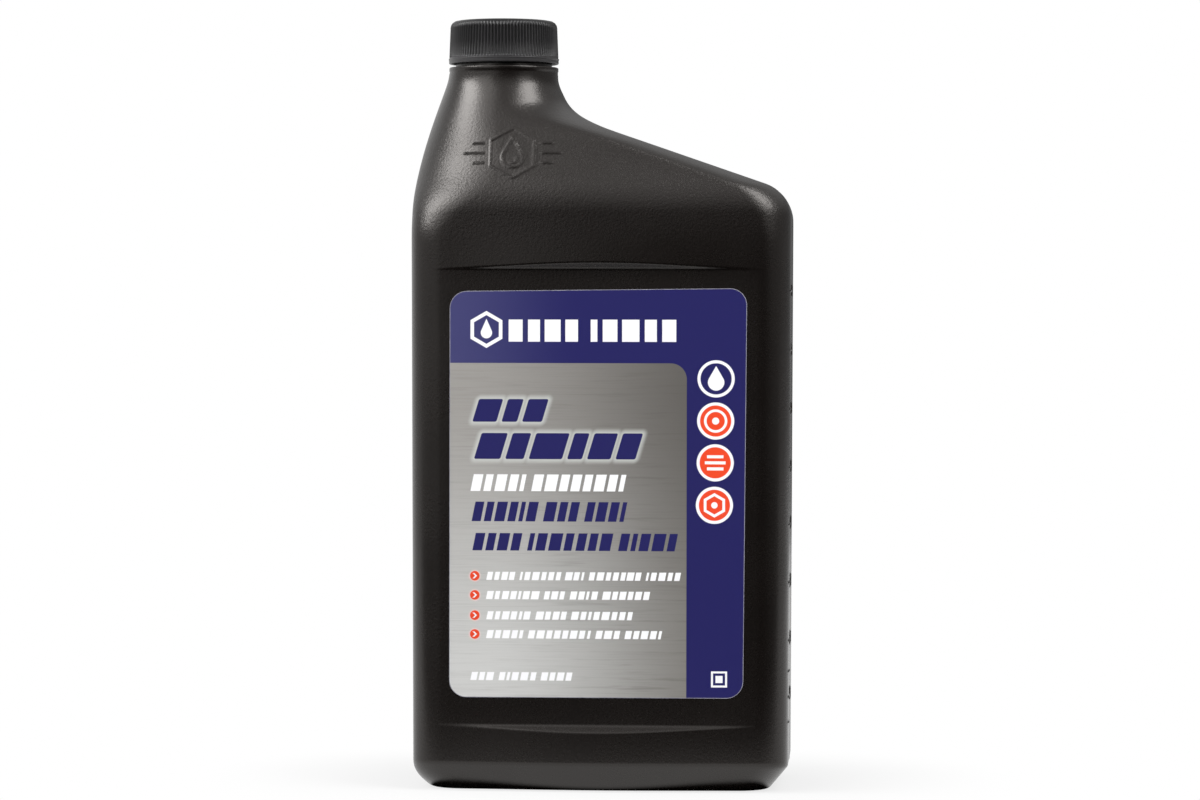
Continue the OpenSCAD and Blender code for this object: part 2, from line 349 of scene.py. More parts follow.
# %% [markdown]
# ## Rounded profiles
#
# The neck finish, the cap and the liner were turned in steel before they were moulded, so each has a profile
# of straight runs with small arcs between them. One helper takes the corners with their radii and returns
# the line, which keeps every edge soft without a bevel over the whole mesh.

# %% Corners with radii to a rounded line


def rounded(corners, steps=4):
    line = []
    for i, (x, z, radius) in enumerate(corners):
        here = Vector((x, z))
        if not radius:
            line.append(here)
            continue
        before = (Vector(corners[i - 1][:2]) - here).normalized()
        after = (Vector(corners[i + 1][:2]) - here).normalized()
        half = before.angle(after) / 2
        centre = here + (before + after).normalized() * radius / sin(half)
        start = here + before * radius / tan(half) - centre
        end = here + after * radius / tan(half) - centre
        line += [centre + start.slerp(end, k / steps) * radius for k in range(steps + 1)]
    return line


print(len(rounded([(0, 0, 0), (1, 0, 0.2), (1, 1, 0)])), "points round one corner")

# %% [markdown]
# ## The path through the wall
#
# The shell is one closed skin. Its path starts in the middle of the base, runs out over the hollow to the
# standing ring, up the outside, over the rim of the mouth and down the inside to the floor. Each station
# on it is one ring. They lie close together where the wall bends and far apart where it is plain.

# %% Stations from the base to the rim and down inside
LEDGE_Z = 204.8
LEDGE_R = 15.65
FINISH_R = 12.7
MOUTH_R = 10.9
BEAD_R = 13.75
BEAD_TOP_Z = 206.6
EDGE_R = 0.35


class Station(NamedTuple):
    z: float
    inset: float = 0.0
    pull: float = 0.0
    lift: float = 0.0
    share: float = 1.0
    radius: float = 0.0


def spread(start, end, count):
    return [mix(start, end, i / count) for i in range(count + 1)]


def body_heights(step_rows, roof_rows):
    """Heights from the foot to the collar, with step_rows over each panel step."""
    soft = PANEL_DEPTH * (1 + PANEL_SOFT)
    return (
        spread(FOOT_EDGE_R, FOOT_H - 1.2, 9)
        + spread(FOOT_H - 0.9, FOOT_H + 0.9, 6)
        + spread(FOOT_H + 2.5, PANEL_LOW_Z - soft - 0.8, 3)
        + spread(PANEL_LOW_Z - soft, PANEL_LOW_Z + 0.5, step_rows)
        + spread(PANEL_LOW_Z + 4, PANEL_HIGH_Z - 4, 30)
        + spread(PANEL_HIGH_Z - 0.5, PANEL_HIGH_Z + soft, step_rows)
        + spread(PANEL_HIGH_Z + soft + 1.2, ROOF_LOW_Z - 7, 6)
        + spread(ROOF_LOW_Z - 6, COLLAR_Z - 0.4, roof_rows)
    )


def base_stations():
    inner = FOOT_RING_W + PUSH_UP_RUN
    flat = [Station(0.0, pull=inner, lift=PUSH_UP, share=s) for s in spread(0.0, 1.0, 12)]
    steps = spread(0.1, 1.0, 9)
    slope = [Station(0.0, pull=inner - PUSH_UP_RUN * t, lift=PUSH_UP * ease(1 - t)) for t in steps]
    turns = [radians(a) for a in spread(0, 75, 5)]
    edge = [Station(FOOT_EDGE_R * (1 - cos(a)), pull=FOOT_EDGE_R * (1 - sin(a))) for a in turns]
    return flat + slope + edge


def neck_stations():
    in_r = NECK_R - WALL
    corners = [
        (NECK_R, COLLAR_Z, 0),
        (LEDGE_R, COLLAR_Z + 0.4, 0),
        (LEDGE_R, LEDGE_Z, EDGE_R),
        (BEAD_R, LEDGE_Z, 0.2),
        (BEAD_R, BEAD_TOP_Z, EDGE_R),
        (FINISH_R, BEAD_TOP_Z, 0.3),
        (FINISH_R, RIM_Z, EDGE_R),
        (MOUTH_R, RIM_Z, EDGE_R),
        (MOUTH_R, LEDGE_Z, 0.8),
        (in_r, COLLAR_Z, 0.8),
        (in_r, COLLAR_Z - 1.0, 0),
    ]
    return [Station(p.y, radius=p.x) for p in rounded(corners)]


outside = base_stations() + [Station(z) for z in body_heights(12, 80)]
neck = neck_stations()
inside = [Station(z, inset=WALL) for z in reversed(body_heights(3, 34)) if z > WALL + FOOT_EDGE_R]
floor = [
    Station(WALL, inset=WALL, pull=FOOT_RING_W + PUSH_UP_RUN * t, lift=PUSH_UP * ease(t))
    for t in spread(0.0, 1.0, 5)
]
floor_middle = [floor[-1]._replace(share=s) for s in spread(0.8, 0.0, 4)]
STATIONS = outside + neck + inside + floor + floor_middle
print(len(STATIONS), "stations,", len(outside), "of them on the outside of the body")

# %% [markdown]
# ## Relief in the mould
#
# The mould is engraved, so the blown wall carries relief: a hexagon with a drop and bars on the front
# shoulder, a level scale on the right wall, the fine line where the mould's halves meet and the pinched seam
# under the base. Each is a height over the plain skin, drawn from distances to simple lines. Numbers on the
# scale are made of straight strokes, as an engraver would cut them with a round tool.

# %% Distances to simple shapes


def line_distance(px, pz, ax, az, bx, bz):
    dx, dz = bx - ax, bz - az
    t = clamp(((px - ax) * dx + (pz - az) * dz) / (dx * dx + dz * dz))
    return hypot(px - ax - dx * t, pz - az - dz * t)


def hexagon_distance(x, z, reach):
    """How far a point is from a hexagon that stands on a corner, with flat sides at reach."""
    return max(abs(x), abs(x) / 2 + abs(z) * sqrt(3) / 2) - reach


def drop_distance(x, z, radius, tip):
    """A round drop whose straight flanks run up to a tip."""
    lean = radius / tip
    flank = abs(x) * sqrt(1 - lean * lean) + (z - tip) * lean
    return min(hypot(x, z) - radius, max(flank, radius * lean - z))


def ridge(distance, half_width):
    return 1 - ease(abs(distance) / half_width)


print("a point 1 mm over a line:", line_distance(0.5, 1, 0, 0, 1, 0))

# %% Emblem, level scale and seams
EMBLEM_X = -24.3
EMBLEM_Z = 179.5
EMBLEM_HALF = (14.1, 7.4)
EMBLEM_HEXAGON = 6.2
EMBLEM_BARS = ((-2.8, 11.2), (0, 13.8), (2.8, 11.2))
EMBLEM_BAR_IN = 8.2
EMBLEM_DROP = (3.0, 6.4)
DROP_DOWN = 1.3
DROP_SQUASH = 1.08
GLINT_DOWN = 1.4
GLINT_R = 1.5
GLINT_CUT = (0.2, 1.2)
EMBLEM_LINE = 0.5
EMBLEM_HIGH = 0.22
SCALE_Z = {800: 140.9, 700: 124.2, 600: 107.6, 500: 91.2, 400: 75.1, 300: 58.7, 200: 42.4, 100: 26.5}
HALF_STEP_Z = (33.7, 19.3)
TICK_Y = (-19.8, -12.6)
HALF_TICK = 5.0
FAR = 9.0
DIGIT_Y = -11.0
DIGIT_W = 1.75
DIGIT_H = 3.0
DIGIT_STEP = 2.9
STROKE = 0.4
SCALE_HIGH = 0.36
STROKES = {
    "top": (0, 1, 1, 1), "middle": (0, 0, 1, 0), "bottom": (0, -1, 1, -1),
    "upper_left": (0, 0, 0, 1), "lower_left": (0, -1, 0, 0),
    "upper_right": (1, 0, 1, 1), "lower_right": (1, -1, 1, 0),
}
LEFT_OUT = {
    "0": "middle", "1": "top middle bottom upper_left lower_left", "2": "upper_left lower_right",
    "3": "upper_left lower_left", "4": "top bottom lower_left", "5": "lower_left upper_right",
    "6": "upper_right", "7": "middle bottom upper_left lower_left", "8": "",
}
SEAM_F = 0.0035
SEAM_HIGH = 0.1
PINCH_HALF = 31.0
PINCH_LINE = 0.8
PINCH_HIGH = 0.4


def emblem_height(x, z):
    across = x - EMBLEM_X
    up = z - EMBLEM_Z
    hexagon = hexagon_distance(across, up, EMBLEM_HEXAGON)
    bars = [line_distance(abs(across), up, EMBLEM_BAR_IN, z, end, z) for z, end in EMBLEM_BARS]
    drop = drop_distance(across, (up + DROP_DOWN) * DROP_SQUASH, *EMBLEM_DROP)
    side_cut, top_cut = GLINT_CUT
    glint = max(abs(hypot(across, up + GLINT_DOWN) - GLINT_R), -across - side_cut, up + top_cut)
    return EMBLEM_HIGH * max(ridge(d, EMBLEM_LINE) for d in (hexagon, drop, glint, *bars))


def stroke_distance(y, z, number, level):
    found = FAR
    for place, digit in enumerate(str(number)):
        left = DIGIT_Y + place * DIGIT_STEP
        for name, stroke in STROKES.items():
            if name not in LEFT_OUT[digit].split():
                ay, by = (left + share * DIGIT_W for share in stroke[::2])
                az, bz = (level + share * DIGIT_H / 2 for share in stroke[1::2])
                found = min(found, line_distance(y, z, ay, az, by, bz))
    return found


def scale_height(y, z):
    found = FAR
    start, end = TICK_Y
    for number, level in SCALE_Z.items():
        if abs(z - level) < DIGIT_H:
            tick = line_distance(y, z, start, level, end, level)
            found = min(tick, stroke_distance(y, z, number, level))
    for level in HALF_STEP_Z:
        if abs(z - level) < DIGIT_H:
            found = min(found, line_distance(y, z, start, level, start + HALF_TICK, level))
    return SCALE_HIGH * ridge(found, STROKE)


def seam_height(turn, z):
    off = min(abs(turn - q) for q in (0, 2, 4))
    return SEAM_HIGH * (1 - ease(off / (2 * SEAM_F))) * clamp(z - 0.5)


def pinch_height(x, y):
    return PINCH_HIGH * ridge(y, PINCH_LINE) * (1 - ease((abs(x) - PINCH_HALF) / 4))


print("relief stands up to", max(EMBLEM_HIGH, SCALE_HIGH, PINCH_HIGH), "mm proud")

# %% [markdown]
# ## The shell as a chart
#
# A map maker draws the round earth on flat paper. The shell is made the same way: a flat grid has one column
# for each step round the bottle and one row for each station. While it is still flat, the patches with
# relief are cut finer. Then every vertex goes to its place on the bottle, and the two edges of the chart are
# merged into a closed skin. An ordinary subdivision of the finished bottle would have made facets there.

# %% Wrap a flat grid into a closed skin
QUARTER_STEPS = 36
MERGE = 1e-7


def grid_chart(columns, rows):
    """A flat grid whose x counts columns and whose y counts rows, both from zero."""
    bm = bmesh.new()
    bmesh.ops.create_grid(bm, x_segments=columns, y_segments=rows, size=0.5)
    bmesh.ops.translate(bm, verts=bm.verts, vec=(0.5, 0.5, 0.0))
    bmesh.ops.scale(bm, verts=bm.verts, vec=(columns, rows, 1.0))
    return bm


def wrap(bm, place):
    """Moves each vertex of a chart to place(column, row) in millimetres, and closes the skin."""
    for vert in bm.verts:
        vert.co = place(vert.co.x, vert.co.y) * MM
    bmesh.ops.remove_doubles(bm, verts=bm.verts, dist=MERGE)
    bmesh.ops.dissolve_degenerate(bm, edges=bm.edges, dist=MERGE)
    bmesh.ops.recalc_face_normals(bm, faces=bm.faces)
    return bm


def mesh_of(name, bm):
    mesh = bpy.data.meshes.new(name)
    bm.to_mesh(mesh)
    bm.free()
    return mesh


def finish_piece(bm, name, body, sharp=radians(38), replaced=()):
    """Makes the mesh a smooth-shaded object that rides on a body of the frame and hides the solids it
    replaces.
    """
    mesh = mesh_of(name, bm)
    mesh.shade_smooth()
    mesh.set_sharp_from_angle(angle=sharp)
    piece = put_in_scene(name, mesh)
    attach(piece, body)
    if replaced:
        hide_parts(*replaced)
    triangles = sum(len(p.vertices) - 2 for p in mesh.polygons)
    print(name, "has", triangles, "triangles")
    return piece


quarter = sorted({0.0, SEAM_F, 2 * SEAM_F} | {i / QUARTER_STEPS for i in range(1, QUARTER_STEPS + 1)})
AROUND = sorted({round(q + (1 - f if q % 2 else f), 6) for q in range(4) for f in quarter})
print(len(AROUND) - 1, "columns round the bottle")

# %% Places on the chart
TURN_PROBE = 1e-3
ROW_PROBE = 0.05


def between(values, at):
    i = min(int(at), len(values) - 2)
    return values[i], values[i + 1], at - i


def station_at(row):
    low, high, t = between(STATIONS, row)
    return low if t == 0 else Station(*(mix(a, b, t) for a, b in zip(low, high)))


def turn_at(column):
    return mix(*between(AROUND, column))


def skin(turn, station):
    """A point of the plain skin, without relief."""
    if station.radius:
        angle = turn * pi / 2
        return Vector((NECK_X + station.radius * cos(angle), station.radius * sin(angle), station.z))
    point = ring_point(turn, station.z, station.inset, station.pull)
    return Vector((point.x * station.share, point.y * station.share, station.z + station.lift))


def relief_at(turn, station, point):
    if station.inset or station.radius:
        return 0.0
    if station.pull > FOOT_RING_W:
        return pinch_height(point.x, point.y)
    height = seam_height(turn, point.z)
    if point.z > ROOF_LOW_Z and point.y < 0:
        height = max(height, emblem_height(point.x, point.z))
    if point.z < PANEL_HIGH_Z and point.x > CORNER_R and abs(point.y) < BODY_D / 2 - CORNER_R:
        height = max(height, scale_height(point.y, point.z))
    return height


def shell_place(column, row):
    turn = turn_at(column)
    station = station_at(row)
    point = skin(turn, station)
    height = relief_at(turn, station, point)
    if not height:
        return point
    around = skin(min(4.0, turn + TURN_PROBE), station) - skin(max(0.0, turn - TURN_PROBE), station)
    along = skin(turn, station_at(row + ROW_PROBE)) - skin(turn, station_at(row - ROW_PROBE))
    return point + around.cross(along).normalized() * height


print("seam column at y", round(skin(SEAM_F, Station(90.0)).y, 2), "mm")

# %% Cut the patches finer


def refine(bm, in_patch, cuts_round, cuts_up):
    """Cuts the faces whose middle on the bottle is in a patch, by their level and their upright edges."""
    for upright, cuts in ((False, cuts_round), (True, cuts_up)):
        if not cuts:
            continue
        edges = set()
        for face in bm.faces:
            middle = face.calc_center_median()
            if middle.y < len(outside) and in_patch(skin(turn_at(middle.x), station_at(middle.y))):
                edges.update(e for e in face.edges if is_upright(e) == upright)
        bmesh.ops.subdivide_edges(bm, edges=list(edges), cuts=cuts, use_grid_fill=True)


def is_upright(edge):
    a, b = edge.verts
    return abs(a.co.x - b.co.x) < abs(a.co.y - b.co.y)


def emblem_patch(p):
    half_w, half_h = EMBLEM_HALF
    return p.y < 0 and abs(p.x - EMBLEM_X) < half_w + 1.2 and abs(p.z - EMBLEM_Z) < half_h + 1.0


def by_a_mark(z):
    return min(abs(z - level) for level in (*SCALE_Z.values(), *HALF_STEP_Z)) < DIGIT_H / 2 + 2.5


def scale_patch(p):
    return p.x > CORNER_R and TICK_Y[0] - 2 < p.y < DIGIT_Y + 3 * DIGIT_STEP + 1 and by_a_mark(p.z)


def number_patch(p):
    return p.x > CORNER_R and DIGIT_Y - 0.8 < p.y < DIGIT_Y + 3 * DIGIT_STEP - 0.4 and by_a_mark(p.z)


def pinch_patch(p):
    return PUSH_UP / 2 < p.z < FOOT_H / 2 and abs(p.y) < PINCH_LINE + 0.7 and abs(p.x) < PINCH_HALF + 5


chart = grid_chart(len(AROUND) - 1, len(STATIONS) - 1)
refine(chart, emblem_patch, 4, 1)
refine(chart, scale_patch, 3, 11)
refine(chart, number_patch, 2, 0)
refine(chart, pinch_patch, 2, 2)
shell = finish_piece(wrap(chart, shell_place), "bottle_shell", "bottle_body", replaced=["bottle"])

# %% [markdown]
# ## Threads
#
# A screw thread is a profile swept along a helix. The spin operator does that when it also moves a little
# along the axis at each step. Both threads are right-handed, and the one in the cap lies half a pitch under
# the one on the neck, so they never meet while the cap turns and climbs. Their ends fade into the wall.

# %% Sweep a ridge along a helix
PITCH = 4.23
THREAD_TURNS = 1.25
THREAD_STEPS = 150
NECK_THREAD_Z = 209.2
CAP_THREAD_START = radians(75)
CAP_IN_R = 14.15
CAP_CREST_R = 13.05
NECK_CREST_R = 13.6
CAP_RIDGE = (1.05, 0.4)
NECK_RIDGE = (1.15, 0.45)
THREAD_SUNK = 0.3
THREAD_FADE = 0.12


def helix_ridge(root_r, crest_r, start_z, start_angle, half_root, half_crest):
    """A ridge that stands on a wall at root_r, with its foot sunk a little into it."""
    outward = 1 if crest_r > root_r else -1
    sunk_r = root_r - THREAD_SUNK * outward
    profile = [(sunk_r, -half_root), (root_r, -half_root), (crest_r, -half_crest)]
    profile += [(r, -z) for r, z in reversed(profile)]
    bm = bmesh.new()
    loop = [bm.verts.new((NECK_X + r, 0.0, start_z + z)) for r, z in profile]
    bm.faces.new(loop)
    bmesh.ops.rotate(bm, verts=bm.verts, cent=(NECK_X, 0, 0), matrix=Matrix.Rotation(start_angle, 3, "Z"))
    step = Vector((0, 0, PITCH * THREAD_TURNS / THREAD_STEPS))
    bmesh.ops.spin(
        bm, geom=bm.verts[:] + bm.edges[:] + bm.faces[:], cent=(NECK_X, 0, 0), axis=(0, 0, 1), dvec=step,
        angle=2 * pi * THREAD_TURNS, steps=THREAD_STEPS,
    )
    edges = [e for e in bm.edges if e.is_boundary]
    bmesh.ops.holes_fill(bm, edges=edges)
    fade_ends(bm, root_r, start_z, start_angle)
    bmesh.ops.scale(bm, verts=bm.verts, vec=(MM, MM, MM))
    bmesh.ops.recalc_face_normals(bm, faces=bm.faces)
    return bm


def fade_ends(bm, root_r, start_z, start_angle):
    """Draws the crest back to the wall over the first and last part of a turn."""
    for vert in bm.verts:
        x, y, z = vert.co.x - NECK_X, vert.co.y, vert.co.z
        part = ((atan2(y, x) - start_angle) / (2 * pi)) % 1
        turned = part + round((z - start_z) / PITCH - part)
        height = ease(turned / THREAD_FADE) * ease((THREAD_TURNS - turned) / THREAD_FADE)
        radius = hypot(x, y)
        wanted = mix(root_r, radius, height) if (radius - root_r) * (root_r - FINISH_R - 0.5) < 0 else radius
        vert.co.x = NECK_X + x * wanted / radius
        vert.co.y = y * wanted / radius


neck_thread = finish_piece(
    helix_ridge(FINISH_R, NECK_CREST_R, NECK_THREAD_Z, 0.0, *NECK_RIDGE),
    "neck_thread", "bottle_body",
)
cap_thread_z = NECK_THREAD_Z + PITCH * (CAP_THREAD_START / (2 * pi) - 0.5)
cap_thread = finish_piece(
    helix_ridge(CAP_IN_R, CAP_CREST_R, cap_thread_z, CAP_THREAD_START, *CAP_RIDGE),
    "cap_thread", "cap_body",
)

# %% [markdown]
# ## The screw cap
#
# The cap is a chart too: its profile goes from the middle of its ceiling down inside, round the lower edge
# and up the outside. A hundred and two shallow flutes give the grip. They are a wave on the skirt's radius
# that fades in over the plain band and fades out under the rounded top edge.

# %% Profile and flutes of the cap
CAP_LOW_Z = cap_low.z / MM
CAP_HIGH_Z = cap_high.z / MM
CEILING_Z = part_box("cap_liner")[1].z / MM
BAND_R = 15.72
SKIRT_R = 15.62
SKIRT_TOP_R = 15.32
TOP_EDGE_R = 2.0
BAND_TOP_Z = CAP_LOW_Z + 1.5
FLUTES = 102
FLUTE_STEPS = 8
FLUTE_DEPTH = 0.46
FLUTE_TOP_Z = CAP_HIGH_Z - 1.3
FLUTE_POWER = 0.6
CAP_OUTSIDE_R = 14.6


def cap_profile():
    corners = [
        (0.0, CEILING_Z, 0),
        (CAP_IN_R, CEILING_Z, 0.4),
        (CAP_IN_R, CAP_LOW_Z + 0.7, 0),
        (CAP_IN_R + 0.35, CAP_LOW_Z, 0.15),
        (BAND_R, CAP_LOW_Z, 0.3),
        (BAND_R, BAND_TOP_Z - 0.45, 0.05),
        (BAND_R + 0.1, BAND_TOP_Z - 0.3, 0.08),
        (BAND_R + 0.1, BAND_TOP_Z, 0.1),
        (SKIRT_R - 0.1, BAND_TOP_Z + 0.05, 0.05),
        (SKIRT_R, BAND_TOP_Z + 0.3, 0),
        (SKIRT_R, BAND_TOP_Z + 0.7, 0),
        (mix(SKIRT_R, SKIRT_TOP_R, 0.5), mix(BAND_TOP_Z, FLUTE_TOP_Z, 0.5), 0),
        (SKIRT_TOP_R, CAP_HIGH_Z - TOP_EDGE_R - 0.4, 0),
        (SKIRT_TOP_R, CAP_HIGH_Z, TOP_EDGE_R),
        (12.4, CAP_HIGH_Z, 0.1),
        (12.2, CAP_HIGH_Z - 0.15, 0.1),
        (1.9, CAP_HIGH_Z - 0.15, 0.15),
        (1.6, CAP_HIGH_Z - 0.45, 0.15),
        (0.7, CAP_HIGH_Z - 0.45, 0.05),
        (0.6, CAP_HIGH_Z - 0.2, 0.05),
        (0.0, CAP_HIGH_Z - 0.2, 0),
    ]
    return rounded(corners)


CAP_LINE = cap_profile()


def cap_place(column, row):
    low, high, t = between(CAP_LINE, row)
    radius, z = low.lerp(high, t)
    fade_in = ease((z - BAND_TOP_Z - 0.2) / 0.4)
    fade_out = ease((FLUTE_TOP_Z + 0.25 - z) / 0.6)
    grip = fade_in * fade_out if radius > CAP_OUTSIDE_R else 0.0
    angle = 2 * pi * column / (FLUTES * FLUTE_STEPS)
    wave = 0.5 - 0.5 * cos(FLUTES * angle)
    radius -= FLUTE_DEPTH * grip * wave ** FLUTE_POWER
    return Vector((NECK_X + radius * cos(angle), radius * sin(angle), z))


cap = finish_piece(
    wrap(grid_chart(FLUTES * FLUTE_STEPS, len(CAP_LINE) - 1), cap_place),
    "cap_shell", "cap_body", sharp=radians(60), replaced=["screw_cap"],
)

# %% [markdown]
# ## The foam liner
#
# The liner is a punched disc of foam. It is a profile spun round the neck's axis. Its edge is soft, and the
# rim of the mouth has left a faint groove in its lower face.

# %% Spin the liner
LINER_SEGMENTS = 96


def spun(line, centre_x, segments):
    """Spins a line of (radius, height) points once round an upright axis."""
    bm = bmesh.new()
    verts = [bm.verts.new((centre_x + p.x, 0.0, p.y)) for p in line]
    edges = [bm.edges.new(pair) for pair in zip(verts, verts[1:])]
    bmesh.ops.spin(
        bm, geom=verts + edges, cent=(centre_x, 0, 0), axis=(0, 0, 1), angle=2 * pi, steps=segments,
        use_merge=True,
    )
    bmesh.ops.scale(bm, verts=bm.verts, vec=(MM, MM, MM))
    bmesh.ops.remove_doubles(bm, verts=bm.verts, dist=MERGE)
    bmesh.ops.recalc_face_normals(bm, faces=bm.faces)
    return bm


liner_low, liner_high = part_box("cap_liner")
LINER_R = (liner_high.x - liner_low.x) / 2 / MM
LINER_LOW_Z = liner_low.z / MM
RIM_GROOVE = 0.06
liner_line = rounded([
    (0.0, LINER_LOW_Z + RIM_GROOVE / 2, 0),
    (MOUTH_R - 0.4, LINER_LOW_Z + RIM_GROOVE / 2, 0),
    (MOUTH_R, LINER_LOW_Z + RIM_GROOVE, 0),
    (FINISH_R, LINER_LOW_Z + RIM_GROOVE, 0),
    (FINISH_R + 0.4, LINER_LOW_Z, 0),
    (LINER_R, LINER_LOW_Z, 0.25),
    (LINER_R, CEILING_Z, 0.25),
    (0.0, CEILING_Z, 0),
])
liner = finish_piece(
    spun(liner_line, NECK_X, LINER_SEGMENTS), "liner_foam", "liner_body", replaced=["cap_liner"]
)

# %% [markdown]
# ## The label
#
# The label is a thin film, a little narrower at the bottom than at the top, as the panel is. A machine laid
# it on a soft bottle, so it sits a little askew. Four corners are placed with their slips, a vertex bevel
# rounds them, and the face is extruded by the thickness of the film. A fine inset ring is the cut edge.

# %% Cut the film
label_low, label_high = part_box("front_label")
LABEL_Y = label_high.y / MM
LABEL_T = (label_high.y - label_low.y) / MM
LABEL_LOW_Z = label_low.z / MM
LABEL_HIGH_Z = label_high.z / MM
LABEL_X = (label_low.x + label_high.x) / 2 / MM
LABEL_HALF_HIGH = (label_high.x - label_low.x) / 2 / MM
LABEL_NARROWING = 0.35
LABEL_R = 4.8
LABEL_SLIPS = {(-1, 1): (0.4, 0.15), (1, 1): (0.7, 1.05), (-1, -1): (-0.05, 0.0), (1, -1): (0.15, 0.15)}
CUT_EDGE_W = 0.17


def label_mesh():
    bm = bmesh.new()
    bmesh.ops.create_grid(bm, x_segments=1, y_segments=1, size=1.0)
    for vert in bm.verts:
        side, level = round(vert.co.x), round(vert.co.y)
        across, up = LABEL_SLIPS[side, level]
        half = LABEL_HALF_HIGH - (LABEL_NARROWING if level < 0 else 0.0)
        z = LABEL_HIGH_Z if level > 0 else LABEL_LOW_Z
        vert.co = Vector((LABEL_X + half * side + across, LABEL_Y, z + up))
    bmesh.ops.bevel(
        bm, geom=bm.verts[:], offset=LABEL_R, affect="VERTICES", segments=12, profile=0.5, material=-1
    )
    made = bmesh.ops.extrude_face_region(bm, geom=bm.faces[:])
    moved = [g for g in made["geom"] if isinstance(g, bmesh.types.BMVert)]
    bmesh.ops.translate(bm, verts=moved, vec=(0, -LABEL_T, 0))
    bmesh.ops.recalc_face_normals(bm, faces=bm.faces)
    printed = min(bm.faces, key=lambda face: face.calc_center_median().y)
    bmesh.ops.inset_region(bm, faces=[printed], thickness=CUT_EDGE_W)
    for face in bm.faces:
        face.material_index = 0 if face is printed else 1
    bmesh.ops.scale(bm, verts=bm.verts, vec=(MM, MM, MM))
    return bm


label = finish_piece(label_mesh(), "label_film", "bottle_body", replaced=["front_label"])

# %% [markdown]
# ## Writing materials as sums
#
# A material is a net of small nodes. Written as arithmetic it reads like a recipe: a Wire is one output of a
# node, and adding or multiplying two wires adds a Math node. A Recipe holds the net, and its add method makes
# any other kind of node.

# %% Wires and recipes


class Wire:
    """One output of a node. Its operators add Math nodes."""

    def __init__(self, recipe, socket):
        self.recipe = recipe
        self.socket = socket

    def math(self, operation, *values, clamped=False):
        settings = {"operation": operation, "use_clamp": clamped}
        return self.recipe.add("ShaderNodeMath", settings, dict(enumerate(values)))

    def __add__(self, other):
        return self.math("ADD", self, other)

    def __sub__(self, other):
        return self.math("SUBTRACT", self, other)

    def __rsub__(self, other):
        return self.math("SUBTRACT", other, self)

    def __mul__(self, other):
        return self.math("MULTIPLY", self, other)

    __radd__ = __add__
    __rmul__ = __mul__

    def size(self):
        return self.math("ABSOLUTE", self)

    def root(self):
        return self.math("SQRT", self)

    def at_least(self, other):
        return self.math("MAXIMUM", self, other)

    def at_most(self, other):
        return self.math("MINIMUM", self, other)

    def from_to(self, start, end):
        """0 at start and 1 at end, in a smooth curve."""
        values = {"Value": self, "From Min": start, "From Max": end}
        return self.recipe.add("ShaderNodeMapRange", {"interpolation_type": "SMOOTHSTEP"}, values)


class Recipe:
    """The node tree of a material or a world."""

    def __init__(self, owner):
        owner.use_nodes = True
        self.owner = owner
        self.tree = owner.node_tree

    def add(self, kind, settings=None, values=None, output=0):
        node = self.tree.nodes.new(kind)
        for name, value in (settings or {}).items():
            if name == "stops":
                self.set_stops(node.color_ramp, value)
            else:
                setattr(node, name, value)
        for name, value in (values or {}).items():
            self.feed(node.inputs[name], value)
        return Wire(self, node.outputs[output])

    def set_stops(self, ramp, stops):
        """A ramp that starts black and switches between white and black at each stop."""
        ramp.interpolation = "CONSTANT"
        ramp.elements.remove(ramp.elements[1])
        ramp.elements[0].color = (0.0, 0.0, 0.0, 1.0)
        for count, at in enumerate(stops):
            grey = 1.0 - count % 2
            ramp.elements.new(at).color = (grey, grey, grey, 1.0)

    def feed(self, socket, value):
        if isinstance(value, Wire):
            self.tree.links.new(value.socket, socket)
        else:
            socket.default_value = value

    def blend(self, factor, first, second):
        """A colour that goes from first to second."""
        return self.add("ShaderNodeMix", {"data_type": "RGBA"}, {0: factor, 6: first, 7: second}, output=2)

    def noise(self, vector, scale, detail=2.0, roughness=0.5):
        values = {"Vector": vector, "Scale": scale, "Detail": detail, "Roughness": roughness}
        return self.add("ShaderNodeTexNoise", None, values)

    def stretched(self, vector, scale):
        return self.add("ShaderNodeMapping", None, {"Vector": vector, "Scale": scale})

    def axes(self, vector):
        return [self.add("ShaderNodeSeparateXYZ", None, {0: vector}, output=i) for i in range(3)]

    def place(self):
        """Where a point of the object lies, in millimetres."""
        return self.stretched(self.add("ShaderNodeTexCoord", output=3), (1 / MM, 1 / MM, 1 / MM))

    def bump(self, height, distance, strength=1.0, under=None):
        values = {"Height": height, "Distance": distance, "Strength": strength}
        if under:
            values["Normal"] = under
        return self.add("ShaderNodeBump", None, values)


def new_finish(name, **values):
    """A material with a Principled shader, its plain values set, and its coordinates in millimetres."""
    recipe = Recipe(bpy.data.materials.new(name))
    shader = recipe.tree.nodes["Principled BSDF"]
    for key, value in values.items():
        shader.inputs[key.replace("_", " ")].default_value = value
    return recipe, shader, recipe.place()


def dress(recipe, shader, **wires):
    """Feeds wires into the shader's inputs and gives the material that is ready."""
    for key, wire in wires.items():
        recipe.feed(shader.inputs[key.replace("_", " ")], wire)
    return recipe.owner


def tone(red, green, blue):
    """A colour as it looks on a screen, 0 to 255, turned into the light that it stands for."""
    shares = [c / 255 for c in (red, green, blue)]
    return (*[c / 12.92 if c <= 0.04045 else ((c + 0.055) / 1.055) ** 2.4 for c in shares], 1.0)


print("mid grey is", round(tone(128, 128, 128)[0], 3), "in light")

# %% [markdown]
# ## Blown polyethylene
#
# The resin is charcoal with a warm tint and no gloss of its own. The mould was blasted, so the skin has a
# fine grain that breaks up highlights, coarser on the shoulder than on the neck. A slow wave over centimetres
# comes from the way a blown wall cools. The grain goes into a Bump node, and the wave into a second one.

# %% Finish of the bottle
SHOULDER_FADE_Z = (146.0, 168.0)
NECK_FADE_Z = (182.0, 200.0)


